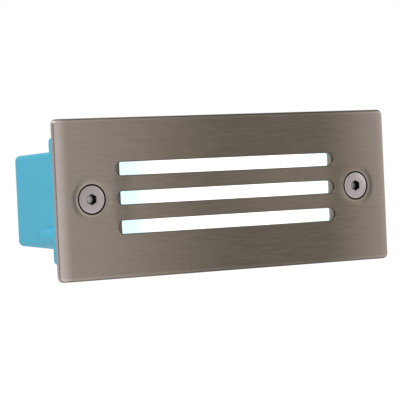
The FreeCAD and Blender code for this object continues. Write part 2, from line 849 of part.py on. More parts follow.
def terminal_block():
    """Three-way block: a wire passage along each way and a ridge over each row of screws."""
    half = terminal_length / 2
    half_width = terminal_pitch * terminal_ways / 2
    left, right = terminal_x - half, terminal_x + half
    shape = block(left, right, gear_plate_back, terminal_back, -half_width, half_width)
    top = terminal_back + ridge_height
    for x in terminal_columns:
        shape = shape.fuse(block(x - ridge_half, x + ridge_half, terminal_back, top, -half_width, half_width))
    for x, z in terminal_screw_places:
        shape = shape.cut(rod(x, z, terminal_screw_radius + play, terminal_level, top + 1))
    for z in terminal_rows:
        shape = shape.cut(along_x(terminal_x, terminal_length + 2, terminal_level, z, cage_half + fit_gap))
    hole = terminal_fixing_radius + fit_gap
    for z in terminal_fixings:
        shape = shape.cut(rod(terminal_x, z, hole, gear_plate_back - 1, terminal_back + 1))
        for x0, x1 in ((left - 1, terminal_x - terminal_wall), (terminal_x + terminal_wall, right + 1)):
            low, high = z - terminal_groove / 2, z + terminal_groove / 2
            shape = shape.cut(block(x0, x1, terminal_back - groove_depth, top + 1, low, high))
    return shape.removeSplitter()


def terminal_cages():
    """Square brass tubes that take the wires, each drilled for its two screws."""
    length = terminal_length - 2 * cage_recess
    cages = []
    for z in terminal_rows:
        cage = along_x(terminal_x, length, terminal_level, z, cage_half)
        cage = cage.cut(along_x(terminal_x, length + 2, terminal_level, z, cage_half - cage_wall))
        for x, screw_z in terminal_screw_places:
            if abs(screw_z - z) < 0.1:
                cage = cage.cut(rod(x, z, terminal_screw_radius + fit_gap, terminal_level, terminal_back))
        cages.append(cage)
    return cages


def terminal_screws():
    """Slotted clamping screws, run down onto the wires."""
    tip = terminal_level + lead_radius + fit_gap
    top = terminal_back + ridge_height / 2
    half_slot = terminal_slot / 2
    screws = []
    for x, z in terminal_screw_places:
        screw = rod(x, z, terminal_screw_radius, tip, top)
        slot = block(x - ridge_half, x + ridge_half, terminal_back, top + 1, z - half_slot, z + half_slot)
        screws.append(screw.cut(slot))
    return screws


def terminal_fixing_screws():
    length = terminal_back - gear_plate_front
    return [
        pan_screw(terminal_x, z, terminal_back, terminal_fixing_radius, terminal_head_radius,
                  terminal_head_height, length, away=1)
        for z in terminal_fixings
    ]


# ---------------------------------------------------------------- cable entries
def entry_washers():
    return [
        tube(side * entry_x, 0, entry_radius + washer_width, entry_radius + play, back_face, gland_out)
        for side in (-1, 1)
    ]


def entry_locknuts():
    """Locknuts inside the back wall, one for the gland and one for the blanking plug."""
    return [
        plain_nut(side * entry_x, 0, entry_across_flats, back_inside - entry_nut_height, back_inside,
                  entry_radius + fit_gap)
        for side in (-1, 1)
    ]


def gland_body():
    """Hexagon collar with a thread through the wall and a thread for the cap nut."""
    collar = plain_nut(entry_x, 0, entry_across_flats, gland_out, collar_out, entry_radius - thread_bevel)
    sleeve = turned(
        [
            (gland_bore, thread_in),
            (entry_radius, thread_in),
            (entry_radius, thread_out),
            (gland_seat, thread_out),
            (gland_seat, collar_out),
            (gland_bore, collar_out),
        ],
        entry_x,
        0,
    )
    return collar.fuse(sleeve).removeSplitter()


def gland_seal():
    """Rubber bush that grips the cable."""
    profile = [
        (seal_bore, seal_front),
        (gland_seat - play, seal_front),
        (gland_seat - play, thread_out),
        (slip_washer_inner + 1.0, seal_back),
        (seal_bore, seal_back),
    ]
    return turned(profile, entry_x, 0)


def gland_slip_washer():
    """Thin washer between the seal and the cap nut: it lets the nut turn without twisting the seal."""
    return tube(entry_x, 0, gland_seat, slip_washer_inner, slip_washer_front, slip_washer_back)


def gland_cap_nut():
    """Domed nut that squeezes the seal onto the cable."""
    front = collar_out + cap_gap
    flats = front + cap_flats_height
    back = front + cap_height
    dome_radius = entry_across_flats / 2 - thread_bevel
    thread = entry_radius + fit_gap
    dome = turned(
        [
            (0, front),
            (dome_radius, front),
            (dome_radius, back - cap_dome),
            (dome_radius - cap_dome, back),
            (0, back),
        ],
        entry_x,
        0,
    )
    hollow = turned(
        [
            (0, front - 1),
            (thread, front - 1),
            (thread, thread_out + thread_bevel),
            (gland_seat + 2 * play, thread_out + thread_bevel),
            (gland_seat + 2 * play, slip_washer_back + 0.1),
            (cap_mouth, slip_washer_back + 0.1),
            (cap_mouth, back + 1),
            (0, back + 1),
        ],
        entry_x,
        0,
    )
    return hexagon(entry_x, 0, entry_across_flats, front, flats).fuse(dome).cut(hollow).removeSplitter()


def blanking_plug():
    """Plug in the spare entry: a bevelled head with a coin slot and a hollow thread."""
    head_out = gland_out + plug_head_height
    bore = entry_radius - plug_wall
    shape = turned(
        [
            (bore, thread_in),
            (entry_radius, thread_in),
            (entry_radius, gland_out),
            (plug_head_radius, gland_out),
            (plug_head_radius, head_out - plug_head_bevel),
            (plug_head_radius - plug_head_bevel, head_out),
            (0, head_out),
            (0, gland_out),
            (bore, gland_out),
        ],
        -entry_x,
        0,
    )
    half_slot = plug_slot_length / 2
    left, right = -entry_x - half_slot, -entry_x + half_slot
    half_width = plug_slot_width / 2
    return shape.cut(block(left, right, head_out - plug_slot_depth, head_out + 1, -half_width, half_width))


# ---------------------------------------------------------------- leads
def six_turns():
    return [math.radians(60 * side) for side in range(6)]


def lead(points, radius, name):
    """Six-sided lead that starts along X: straight runs joined by arcs as large as the runs allow."""
    points = [Vector(*p) for p in points]
    edges = []
    last = points[0]
    for before, corner, after in zip(points, points[1:], points[2:]):
        into = (corner - before).normalize()
        out = (after - corner).normalize()
        turn = into.getAngle(out)
        reach = 0.45 * min((corner - before).Length, (after - corner).Length)
        bend = reach / math.tan(turn / 2)
        print(name, "bend radius %.1f mm, %.1f diameters" % (bend, bend / (2 * radius)))
        start = corner - into * reach
        end = corner + out * reach
        towards_centre = (out - into).normalize()
        centre_gap = bend / math.cos(turn / 2)
        middle = corner + towards_centre * (centre_gap - bend)
        edges.append(Part.makeLine(last, start))
        edges.append(Part.Arc(start, middle, end).toShape())
        last = end
    edges.append(Part.makeLine(last, points[-1]))
    path = Part.Wire(edges)
    section = [points[0] + Vector(0, radius * math.cos(a), radius * math.sin(a)) for a in six_turns()]
    profile = Part.makePolygon(section + section[:1])
    tube_solid = path.makePipeShell([profile], True, False)
    area = 1.5 * math.sqrt(3) * radius ** 2
    ratio = tube_solid.Volume / (area * path.Length)
    print(name, "length %.1f mm, volume ratio %.4f" % (path.Length, ratio))
    return tube_solid


def supply_leads():
    """Line and neutral from the terminal block to the driver."""
    level = connector_level
    start_x = supply_connector_x + connector_depth - lead_in_connector
    end_x = terminal_x - terminal_length / 2 + lead_in_terminal
    middle = (level + terminal_level) / 2
    shapes = []
    outer_rows = (terminal_rows[0], terminal_rows[-1])
    for name, z, end_z in zip(("neutral_lead", "live_lead"), lead_rows, outer_rows):
        route = [
            (start_x, level, z),
            (start_x + 6.5, level, z),
            (start_x + 12.5, middle + 1.2, (2 * z + end_z) / 3),
            (start_x + 18.5, middle - 1.0, (z + 2 * end_z) / 3),
            (start_x + 24.0, terminal_level, end_z),
            (end_x, terminal_level, end_z),
        ]
        shapes.append(lead(route, lead_radius, name))
    return shapes


def led_leads():
    """The driver's output, through the gear plate and the light box's end wall, to the LED board."""
    start_x = output_connector_x + lead_in_connector
    end_x = -led_board_width / 2 + led_lead_on_board
    shapes = []
    for name, z in zip(("led_lead_negative", "led_lead_positive"), led_lead_rows):
        route = [
            (start_x, connector_level, z),
            (start_x - 6.0, connector_level, z),
            (lead_hole_x, connector_level - 5.0, z),
            (lead_hole_x, led_lead_height, z),
            (end_x, led_lead_height, z),
        ]
        shapes.append(lead(route, led_lead_radius, name))
    return shapes


# ---------------------------------------------------------------- write the pieces
def save(name, shapes):
    solids = shapes if isinstance(shapes, list) else [shapes]
    solids = [solid for shape in solids for solid in shape.Solids]
    shape = solids[0] if len(solids) == 1 else Part.makeCompound(solids)
    shape.exportStep("parts/%s.step" % name)
    print("%-24s %3d solid(s) %9.1f mm3 valid %s" % (name, len(solids), shape.Volume, shape.isValid()))


os.makedirs("parts", exist_ok=True)

save("face_plate", face_plate())
save("face_gasket", face_gasket())
save("lens_gasket", lens_gasket())
save("lens", lens())
save("lens_nuts", lens_nuts())
for side_name, place in zip(("left", "right"), screw_places):
    save("%s_cover_screw" % side_name, cover_screw(*place))
    save("%s_retaining_ring" % side_name, retaining_ring(*place))

save("housing", housing())
save("thread_inserts", thread_inserts())
save("fixing_grommets", fixing_grommets())

save("gear_plate", gear_plate())
save("gear_plate_screws", gear_screws())
save("light_box", light_box())
save("led_board", led_board())
save("leds", leds())
save("led_board_screws", board_screws())

save("driver_board", driver_board())
save("driver_stand_offs", driver_stand_offs())
save("driver_screws", driver_screws())
save("transformer_core", transformer_core())
save("transformer_winding", transformer_winding())
save("driver_capacitors", driver_capacitors())
save("filter_capacitor", filter_capacitor())
save("driver_choke", driver_choke())
save("supply_connector", supply_connector())
save("output_connector", output_connector())

save("terminal_block", terminal_block())
save("terminal_cages", terminal_cages())
save("terminal_screws", terminal_screws())
save("terminal_fixing_screws", terminal_fixing_screws())

neutral_lead, live_lead = supply_leads()
save("neutral_lead", neutral_lead)
save("live_lead", live_lead)
led_lead_negative, led_lead_positive = led_leads()
save("led_lead_negative", led_lead_negative)
save("led_lead_positive", led_lead_positive)

save("gland_body", gland_body())
save("gland_seal", gland_seal())
save("gland_slip_washer", gland_slip_washer())
save("gland_cap_nut", gland_cap_nut())
save("entry_washers", entry_washers())
save("entry_locknuts", entry_locknuts())
save("blanking_plug", blanking_plug())
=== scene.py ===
import json
import math

import bmesh
import bpy
from mathutils import Matrix, Vector

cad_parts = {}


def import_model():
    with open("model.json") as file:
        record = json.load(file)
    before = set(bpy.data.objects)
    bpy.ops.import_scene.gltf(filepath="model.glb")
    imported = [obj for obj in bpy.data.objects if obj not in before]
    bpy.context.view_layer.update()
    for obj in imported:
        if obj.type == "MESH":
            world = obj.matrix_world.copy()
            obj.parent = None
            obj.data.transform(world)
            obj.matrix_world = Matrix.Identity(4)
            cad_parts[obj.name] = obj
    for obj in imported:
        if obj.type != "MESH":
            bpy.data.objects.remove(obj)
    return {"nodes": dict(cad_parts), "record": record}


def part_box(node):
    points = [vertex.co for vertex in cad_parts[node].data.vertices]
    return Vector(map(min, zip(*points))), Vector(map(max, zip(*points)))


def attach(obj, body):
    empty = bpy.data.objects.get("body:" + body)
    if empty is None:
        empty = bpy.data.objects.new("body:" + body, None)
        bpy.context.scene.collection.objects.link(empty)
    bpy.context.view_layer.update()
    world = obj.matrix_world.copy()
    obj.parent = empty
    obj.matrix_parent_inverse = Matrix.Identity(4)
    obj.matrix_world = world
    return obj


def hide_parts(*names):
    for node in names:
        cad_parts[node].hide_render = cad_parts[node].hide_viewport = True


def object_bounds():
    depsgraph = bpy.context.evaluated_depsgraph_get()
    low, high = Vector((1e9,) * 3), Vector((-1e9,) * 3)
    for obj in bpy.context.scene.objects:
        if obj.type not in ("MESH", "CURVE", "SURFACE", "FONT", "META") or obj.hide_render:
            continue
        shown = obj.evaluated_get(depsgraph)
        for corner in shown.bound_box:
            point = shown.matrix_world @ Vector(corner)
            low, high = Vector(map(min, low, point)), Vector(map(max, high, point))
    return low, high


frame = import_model()
cad_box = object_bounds()

MM = 0.001
TURN = 2 * math.pi

# ---------------------------------------------------------------- camera and studio
CAMERA_PLACE = Vector((-404.4, -702.8, 11.5)) * MM
CAMERA_YAW = math.radians(29.05)
CAMERA_PITCH = math.radians(-1.02)
CAMERA_ROLL = math.radians(-2.62)
CAMERA_LENS = 162.9
SENSOR = 36.0

FLOOR_DROP = 0.22            # the floor lies this far below the light
FLOOR_SIZE = 12.0
FLOOR_COLOUR = (0.90, 0.90, 0.90, 1)
FLOOR_LIFT = 0.70            # what the camera sees on top of the lit floor
WORLD_LIGHT = 0.36           # strength of the world on the object

BOX = "recess_box"                          # the body that stays in the wall

# ---------------------------------------------------------------- sizes shared with the solids
PLATE_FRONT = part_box("face_plate")[0].y
SCREW_PLACE = (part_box("right_cover_screw")[0].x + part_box("right_cover_screw")[1].x) / 2
RIB_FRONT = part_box("lens")[0].y
LENS_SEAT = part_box("lens_gasket")[1].y      # the flat of the lens from which its ribs rise
WASHER_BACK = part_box("entry_washers")[1].y
ENTRY_RADIUS = 10.0 * MM
ENTRY_PITCH = 1.5 * MM
ENTRY_THREAD = 0.6 * MM                     # depth of the thread
ENTRY_TIP = ENTRY_RADIUS - 0.8 * MM         # radius of the thread's chamfered end
ENTRY_LEAD = 0.4 * MM                       # length of that chamfer
ENTRY_GAP = 0.05 * MM                       # between a nut's bore and the thread
ENTRY_NUT = 24.0 * MM                       # across flats
COLLAR = 6.0 * MM                           # length of the gland's hexagon
GLAND_BORE = 7.0 * MM                       # radius
GLAND_SEAT = 8.2 * MM                       # radius of the seat for the seal
CAP_MOUTH = 6.6 * MM                        # radius of the cap nut's opening
CAP_FLATS = 8.0 * MM                        # length of the cap nut's hexagon
PLUG_EDGE = 1.8 * MM                        # rounding of the plug's head, and depth of its slot
SOCKET = 4.0 * MM                           # across flats
SOCKET_DEPTH = 2.6 * MM
SOCKET_CHAMFER = 0.5 * MM                   # what the chamfer adds across the flats
SCREW_RADIUS = 3.0 * MM
SCREW_PITCH = 1.0 * MM
SCREW_THREAD = 0.45 * MM                    # depth of the thread
GROOVE_GAP = 0.1 * MM                       # from a retaining ring to its groove's walls
CHOKE_FLANGE = 1.4 * MM                     # thickness of the drum's flanges, and their overhang
CHOKE_WIRE = 0.5 * MM

SAME_PLACE = 1e-6                           # metres within which two corners of a CAD mesh are one
MERGE = 1e-7                                # the same in a turned mesh
SLIVER = 1e-8                               # edges shorter than this are dissolved
NO_DIVISOR = 1e-6                           # keeps a radius finite where its slope is zero
SHARP_ANGLE = math.radians(32)

# ---------------------------------------------------------------- colours of the plate and the lens
# the lilac tint is a painted reflection on the left rim
STEEL_WARM = (1.0, 0.858, 0.740, 1)
STEEL_MIDDLE = (1.0, 0.828, 0.665, 1)
STEEL_LILAC_REFLECTION = (1.0, 0.855, 0.815, 1)        # at the left rim
PLATE_GRAIN = (110, 1700, 1700)             # cells of grain per metre along each axis
PLATE_SHADES = (0.086, 0.130)               # darkest and lightest grain
PLATE_ROUGHNESS = (0.30, 0.44)
# the ribs' glow is painted light that stands in for the LEDs behind the lens, cooler at the ribs' ends
GLOW = (1, 1, 1, 1)
GLOW_END = (0.54, 0.72, 0.74, 1)            # at both ends of the ribs
GLOW_STRENGTH = 1.25
# the lens's base: painted shade on the left, painted light on the right
OPAL_LEFT_SHADED = (0.20, 0.160, 0.125, 1)         # the lens beside its glow, on the left and on the right
OPAL_RIGHT_LIT = (0.66, 0.62, 0.54, 1)


# ---------------------------------------------------------------- node helpers
def new_material(name):
    material = bpy.data.materials.new(name)
    material.use_nodes = True
    tree = material.node_tree
    return material, tree, tree.nodes["Principled BSDF"]


def node(tree, kind, inputs=None, **settings):
    """A shader node with its settings and unlinked inputs filled in."""
    made = tree.nodes.new(kind)
    for key, value in settings.items():
        setattr(made, key, value)
    for key, value in (inputs or {}).items():
        made.inputs[key].default_value = value
    return made


def join(tree, source, target):
    tree.links.new(source, target)


def object_point(tree, scale=(1, 1, 1)):
    """The surface's place on the object, in metres, stretched by the scale."""
    place = node(tree, "ShaderNodeTexCoord")
    mapping = node(tree, "ShaderNodeMapping", {"Scale": scale})
    join(tree, place.outputs["Object"], mapping.inputs["Vector"])
    return mapping.outputs["Vector"]


def noise(tree, scale, stretch=(1, 1, 1), detail=4.0, roughness=0.55):
    inputs = {"Scale": scale, "Detail": detail, "Roughness": roughness}
    texture = node(tree, "ShaderNodeTexNoise", inputs)
    join(tree, object_point(tree, stretch), texture.inputs["Vector"])
    return texture.outputs["Fac"]


def spread(tree, value, low, high):
    """Carries a noise's middle range onto low to high."""
    inputs = {"From Min": 0.3, "From Max": 0.7, "To Min": low, "To Max": high}
    ranged = node(tree, "ShaderNodeMapRange", inputs)
    join(tree, value, ranged.inputs["Value"])
    return ranged.outputs["Result"]


def blend_colour(tree, factor, first, second):
    """Mixes two colours, of which each may be a node's output."""
    mix = node(tree, "ShaderNodeMix", data_type="RGBA")
    for socket, colour in ((mix.inputs[6], first), (mix.inputs[7], second)):
        if isinstance(colour, bpy.types.NodeSocket):
            join(tree, colour, socket)
        else:
            socket.default_value = colour
    join(tree, factor, mix.inputs["Factor"])
    return mix.outputs[2]


def scaled(colour, by):
    """The colour made lighter or darker, with an alpha of 1."""
    return tuple(min(channel * by, 1.0) for channel in colour) + (1.0,)


def bump(tree, bsdf, height, distance, strength=1.0):
    made = node(tree, "ShaderNodeBump", {"Strength": strength, "Distance": distance})
    join(tree, height, made.inputs["Height"])
    join(tree, made.outputs["Normal"], bsdf.inputs["Normal"])


# ---------------------------------------------------------------- finishes
def plastic(name, colour, roughness=0.5, grain=2500.0, relief=0.00002, variation=0.05):
    """Moulded plastic: a fine spark-eroded grain and slightly uneven colour."""
    material, tree, bsdf = new_material(name)
    cloud = spread(tree, noise(tree, 45.0), 0.0, 1.0)
    shade = blend_colour(tree, cloud, scaled(colour, 1 - variation), scaled(colour, 1 + variation))
    join(tree, shade, bsdf.inputs["Base Color"])
    grains = noise(tree, grain, detail=2.0)
    join(tree, spread(tree, grains, roughness - 0.06, roughness + 0.06), bsdf.inputs["Roughness"])
    bump(tree, bsdf, grains, relief)
    return material


def rubber(name, colour, roughness=0.75):
    return plastic(name, colour, roughness, grain=1400.0, relief=0.00003, variation=0.12)


def metal(name, colour, roughness=0.3, stretch=(1, 1, 1), scale=900.0, tone=None):
    """Bare metal with a machining or rolling grain along the axis that the stretch leaves small.

    The tone, where there is one, makes the value that the colour is multiplied by.
    """
    variation = 0.08
    material, tree, bsdf = new_material(name)
    bsdf.inputs["Metallic"].default_value = 1.0
    grains = noise(tree, scale, stretch, detail=5.0)
    cloud = spread(tree, grains, 0.0, 1.0)
    shade = blend_colour(tree, cloud, scaled(colour, 1 - variation), scaled(colour, 1 + variation))
    if tone:
        shade = tinted(tree, shade, tone(tree))
    join(tree, shade, bsdf.inputs["Base Color"])
    join(tree, spread(tree, grains, roughness - 0.05, roughness + 0.05), bsdf.inputs["Roughness"])
    bump(tree, bsdf, grains, 0.000004)
    return material


def axis_value(tree, axis):
    """The surface's place along one axis of the object, in metres."""
    place = node(tree, "ShaderNodeSeparateXYZ")
    join(tree, object_point(tree), place.inputs["Vector"])
    return place.outputs[axis]


def ramp(tree, value, start, end, low, high):
    """A value that runs smoothly from low to high while another runs from start to end millimetres."""
    made = node(
        tree,
        "ShaderNodeMapRange",
        {"From Min": start * MM, "From Max": end * MM, "To Min": low, "To Max": high},
        interpolation_type="SMOOTHSTEP",
    )
    join(tree, value, made.inputs["Value"])
    return made.outputs["Result"]


def along_x(tree, start, end, low, high):
    return ramp(tree, axis_value(tree, "X"), start, end, low, high)


def reduced(tree, values, operation):
    """Joins the values by one maths operation, from the first to the last."""
    total = values[0]
    for value in values[1:]:
        made = node(tree, "ShaderNodeMath", operation=operation)
        join(tree, total, made.inputs[0])
        join(tree, value, made.inputs[1])
        total = made.outputs[0]
    return total


def summed(tree, values):
    return reduced(tree, values, "ADD")


def multiplied(tree, values):
    return reduced(tree, values, "MULTIPLY")


def absolute(tree, value):
    made = node(tree, "ShaderNodeMath", operation="ABSOLUTE")
    join(tree, value, made.inputs[0])
    return made.outputs[0]


def tinted(tree, first, second):
    """A colour multiplied by another colour or by a value."""
    multiply = node(tree, "ShaderNodeMix", {"Factor": 1.0}, data_type="RGBA", blend_type="MULTIPLY")
    join(tree, first, multiply.inputs[6])
    join(tree, second, multiply.inputs[7])
    return multiply.outputs[2]


def from_screw(tree):
    """Offset from the nearer cover screw's axis, with X counted outwards, and the distance from it."""
    outwards = node(tree, "ShaderNodeVectorMath", operation="ABSOLUTE")
    join(tree, object_point(tree), outwards.inputs[0])
    offset = node(tree, "ShaderNodeVectorMath", operation="SUBTRACT")
    offset.inputs[1].default_value = (SCREW_PLACE, 0, 0)
    join(tree, outwards.outputs[0], offset.inputs[0])
    across = node(tree, "ShaderNodeVectorMath", operation="MULTIPLY")
    across.inputs[1].default_value = (1, 0, 1)
    join(tree, offset.outputs[0], across.inputs[0])
    distance = node(tree, "ShaderNodeVectorMath", operation="LENGTH")
    join(tree, across.outputs[0], distance.inputs[0])
    side = node(tree, "ShaderNodeSeparateXYZ")
    join(tree, offset.outputs[0], side.inputs["Vector"])
    return side.outputs["X"], distance.outputs["Value"]


def screw_painted_light_and_line(tree):
    """Painted shade on the socket's walls and a painted glint on its bottom, a turned line near the head's
    rim, and a lighter band outside that line.
    """
    distance = from_screw(tree)[1]
    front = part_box("left_cover_screw")[0].y / MM
    # painted shade: the socket's walls are darkened below the head's top
    painted_shade_below_top = ramp(tree, axis_value(tree, "Y"), front + 0.01, front + 0.06, 1.0, 0.04)
    painted_wall_shade = reduced(tree, [painted_shade_below_top, ramp(tree, distance, 2.4, 2.6, 0.04, 1.0)], "MAXIMUM")
    # painted glint: the socket's bottom is lighter towards its middle
    painted_bottom_glint = ramp(tree, distance, 0.6, 1.95, 1.35, 0.15)
    painted_bottom_glint = multiplied(tree, [painted_bottom_glint, ramp(tree, distance, 1.90, 2.0, 1.0, 0.0)])
    line = ramp(tree, distance, 4.95, 5.1, 0.0, -0.16)
    edge = ramp(tree, distance, 5.15, 5.3, 0.0, 0.20)
    return summed(tree, [painted_bottom_glint, painted_wall_shade, line, edge])


def seat_painted_light(tree):
    """The pressed seats, with painted light and shade: lighter under the head, painted shade in a ring
    just outside the head's rim, a painted highlight on the seat's edge, and on the dip painted shade
    outboard and painted light inboard.
    """
    side, distance = from_screw(tree)
    # painted shade in a ring just outside the head, where the gap lies in shade
    painted_gap_shade = ramp(tree, distance, 5.6, 6.0, 1.80, 0.02)
    # painted highlight on the seat's rim
    painted_rim_highlight = ramp(tree, distance, 6.55, 6.85, 0.0, 1.14)
    edge = ramp(tree, distance, 7.0, 7.9, 0.0, -0.16)
    dip_in = ramp(tree, distance, 7.3, 8.0, 0.0, 1.0)
    dip_out = ramp(tree, distance, 8.6, 10.4, 1.0, 0.0)
    # painted shade on the dip's outboard side and painted light on its inboard side
    shade = summed(tree, [ramp(tree, side, -9, -2, 0.16, 0.0), ramp(tree, side, 2, 9, 0.0, -0.42)])
    return summed(tree, [painted_gap_shade, painted_rim_highlight, edge, multiplied(tree, [dip_in, dip_out, shade])])


def bend_painted_shade(tree):
    """Painted shade on the plate's rounded edge: a fine dark line just behind the front, and a darker rim
    behind that line.
    """
    depth = axis_value(tree, "Y")
    front = PLATE_FRONT / MM
    # painted shade along the rounded edge
    into_line = ramp(tree, depth, front + 0.30, front + 0.50, 1.0, 0.40)
    out_of_line = ramp(tree, depth, front + 0.68, front + 0.90, 0.0, 0.40)
    return summed(tree, [into_line, out_of_line])


def plate_painted_reflections_and_grain(tree, grains):
    """Painted reflections along the plate's length, lighter towards both ends and on both rims, painted
    light on the bars between the slots and painted shade near their left ends, with the grain.
    """
    # painted reflections: lighter towards the plate's ends
    left = along_x(tree, -85, 10, 0.132, 0.0)
    right = along_x(tree, 45, 92, 0.0, 0.135)
    # painted highlights on the rounded rims
    left_rim_highlight = along_x(tree, -84.6, -78, 0.20, 0.0)
    right_rim_highlight = along_x(tree, 79, 85, 0.0, 0.05)
    at_bars = ramp(tree, absolute(tree, axis_value(tree, "Z")), 9, 13, 1.0, 0.0)
    # painted light on the bars and painted shade near their left ends
    painted_bar_light = multiplied(tree, [along_x(tree, -25, 35, 0, 0.042), along_x(tree, 48, 58, 1, 0)])
    painted_bar_shade = multiplied(tree, [along_x(tree, -59, -55, 0, -0.045), along_x(tree, -53, -45, 1, 0)])
    painted_bars = multiplied(tree, [at_bars, summed(tree, [painted_bar_light, painted_bar_shade])])
    return summed(tree, [left, right, left_rim_highlight, right_rim_highlight, painted_bars, spread(tree, grains, *PLATE_SHADES)])


def steel_tint_and_rim_reflection(tree):
    """Stainless steel's tint: warmest in the middle, with a lilac painted reflection at the left rim."""
    middle = multiplied(tree, [along_x(tree, -75, -30, 0, 1), along_x(tree, 62, 85, 1, 0)])
    warm = blend_colour(tree, middle, STEEL_WARM, STEEL_MIDDLE)
    # painted reflection: lilac on the left rim
    return blend_colour(tree, along_x(tree, -84, -80, 1, 0), warm, STEEL_LILAC_REFLECTION)


def brushed_plate():
    """Stainless sheet brushed along its length, its colour carrying painted reflections, highlights and
    shade.
    """
    material, tree, bsdf = new_material("plate_steel")
    bsdf.inputs["Metallic"].default_value = 1.0
    bsdf.inputs["Anisotropic"].default_value = 0.6
    grains = noise(tree, 1.0, PLATE_GRAIN, detail=6.0, roughness=0.8)
    # the tone paints reflections, highlights and shade over the grain
    tone = multiplied(tree, [plate_painted_reflections_and_grain(tree, grains), seat_painted_light(tree), bend_painted_shade(tree)])
    join(tree, tinted(tree, steel_tint_and_rim_reflection(tree), tone), bsdf.inputs["Base Color"])
    join(tree, spread(tree, grains, *PLATE_ROUGHNESS), bsdf.inputs["Roughness"])
    bump(tree, bsdf, grains, 0.00001, 0.5)
    return material


def opal():
    """Opal diffuser: its ribs have a painted glow that stands in for the LEDs' light, cooler at their
    ends; its base behind the plate doesn't glow, and its colour has painted shade on the left and painted
    light on the right.
    """
    material, tree, bsdf = new_material("opal")
    inputs = {
        "From Min": LENS_SEAT - 0.3 * MM,
        "From Max": RIB_FRONT + 0.3 * MM,
        "To Min": 0.0,
        "To Max": GLOW_STRENGTH,
    }
    rib = node(tree, "ShaderNodeMapRange", inputs)
    join(tree, axis_value(tree, "Y"), rib.inputs["Value"])
    join(tree, rib.outputs["Result"], bsdf.inputs["Emission Strength"])
    end = ramp(tree, absolute(tree, axis_value(tree, "X")), 30, 50, 0, 1)
    join(tree, blend_colour(tree, end, GLOW, GLOW_END), bsdf.inputs["Emission Color"])
    # painted shade on the left of the base, painted light on its right
    base_painted_shade_and_light = blend_colour(tree, along_x(tree, -30, 30, 0, 1), OPAL_LEFT_SHADED, OPAL_RIGHT_LIT)
    cloud = spread(tree, noise(tree, 300.0), 0.92, 1.08)
    join(tree, tinted(tree, base_painted_shade_and_light, cloud), bsdf.inputs["Base Color"])
    bsdf.inputs["Roughness"].default_value = 0.35
    bump(tree, bsdf, noise(tree, 800.0), 0.00001)
    return material


def board(name, colour, tracks):
    """Circuit board: solder resist over slightly raised copper tracks."""
    material, tree, bsdf = new_material(name)
    lines = node(tree, "ShaderNodeTexBrick", {"Scale": 160.0, "Mortar Size": 0.045, "Bias": -0.2})
    join(tree, object_point(tree), lines.inputs["Vector"])
    shade = blend_colour(tree, lines.outputs["Fac"], colour, tracks)
    join(tree, shade, bsdf.inputs["Base Color"])
    bsdf.inputs["Roughness"].default_value = 0.32
    bump(tree, bsdf, lines.outputs["Fac"], 0.00003)
    return material


FINISHES = {
    "plate_steel": brushed_plate(),
    # the screws' tone paints shade on their sockets' walls and a glint on the sockets' bottoms
    "screw_steel": metal("screw_steel", (0.325, 0.285, 0.285), 0.34, scale=1500.0, tone=screw_painted_light_and_line),
    "opal": opal(),
    "blue_plastic": plastic("blue_plastic", (0.045, 0.410, 0.580), 0.55),
    "black_foam": rubber("black_foam", (0.030, 0.030, 0.032), 0.9),
    "clear_silicone": rubber("clear_silicone", (0.62, 0.62, 0.60), 0.45),
    "black_rubber": rubber("black_rubber", (0.025, 0.025, 0.027)),
    "black_nylon": plastic("black_nylon", (0.032, 0.032, 0.035), 0.42),
    "zinc_steel": metal("zinc_steel", (0.62, 0.62, 0.60), 0.28),
    "brass": metal("brass", (0.70, 0.50, 0.20), 0.26, (1, 60, 1), 300.0),
    "aluminium": metal("aluminium", (0.62, 0.62, 0.63), 0.36, (0.04, 1, 1), 900.0),
    "white_plastic": plastic("white_plastic", (0.80, 0.80, 0.79), 0.4),
    "cream_plastic": plastic("cream_plastic", (0.74, 0.70, 0.58), 0.45),
    "white_board": board("white_board", (0.80, 0.80, 0.79, 1), (0.72, 0.72, 0.71, 1)),
    "green_board": board("green_board", (0.020, 0.155, 0.050, 1), (0.045, 0.230, 0.085, 1)),
    "led_package": plastic("led_package", (0.82, 0.62, 0.14), 0.3, grain=4000.0),
    "ferrite": plastic("ferrite", (0.045, 0.045, 0.050), 0.5, grain=1200.0),
    "yellow_tape": plastic("yellow_tape", (0.75, 0.55, 0.07), 0.25, grain=500.0),
    "capacitor_sleeve": plastic("capacitor_sleeve", (0.045, 0.055, 0.12), 0.25),
    "yellow_case": plastic("yellow_case", (0.72, 0.50, 0.08), 0.35),
    "blue_lead": plastic("blue_lead", (0.045, 0.15, 0.52), 0.4),
    "brown_lead": plastic("brown_lead", (0.17, 0.075, 0.035), 0.4),
    "black_lead": plastic("black_lead", (0.025, 0.025, 0.025), 0.4),
    "red_lead": plastic("red_lead", (0.48, 0.03, 0.03), 0.4),
}


def dress_nodes():
    """Each solid of the frame gets its slot's finish."""
    for part in frame["record"]["subparts"]:
        mesh = frame["nodes"][part["node"]].data
        mesh.materials.clear()
        mesh.materials.append(FINISHES[part["material_slot"]])


def add_object(name, data):
    made = bpy.data.objects.new(name, data)
    bpy.context.scene.collection.objects.link(made)
    return made


# ---------------------------------------------------------------- turned pieces
def solids(name):
    """Lowest and highest corner of each separate solid of a CAD node, from left to right."""
    work = bmesh.new()
    work.from_mesh(frame["nodes"][name].data)
    bmesh.ops.remove_doubles(work, verts=work.verts, dist=SAME_PLACE)
    unseen = set(work.verts)
    boxes = []
    while unseen:
        group = [unseen.pop()]
        for vertex in group:
            for edge in vertex.link_edges:
                other = edge.other_vert(vertex)
                if other in unseen:
                    unseen.discard(other)
                    group.append(other)
        low = [min(vertex.co[axis] for vertex in group) for axis in range(3)]
        high = [max(vertex.co[axis] for vertex in group) for axis in range(3)]
        boxes.append((Vector(low), Vector(high)))
    work.free()
    return sorted(boxes, key=lambda corners: tuple(corners[0]))


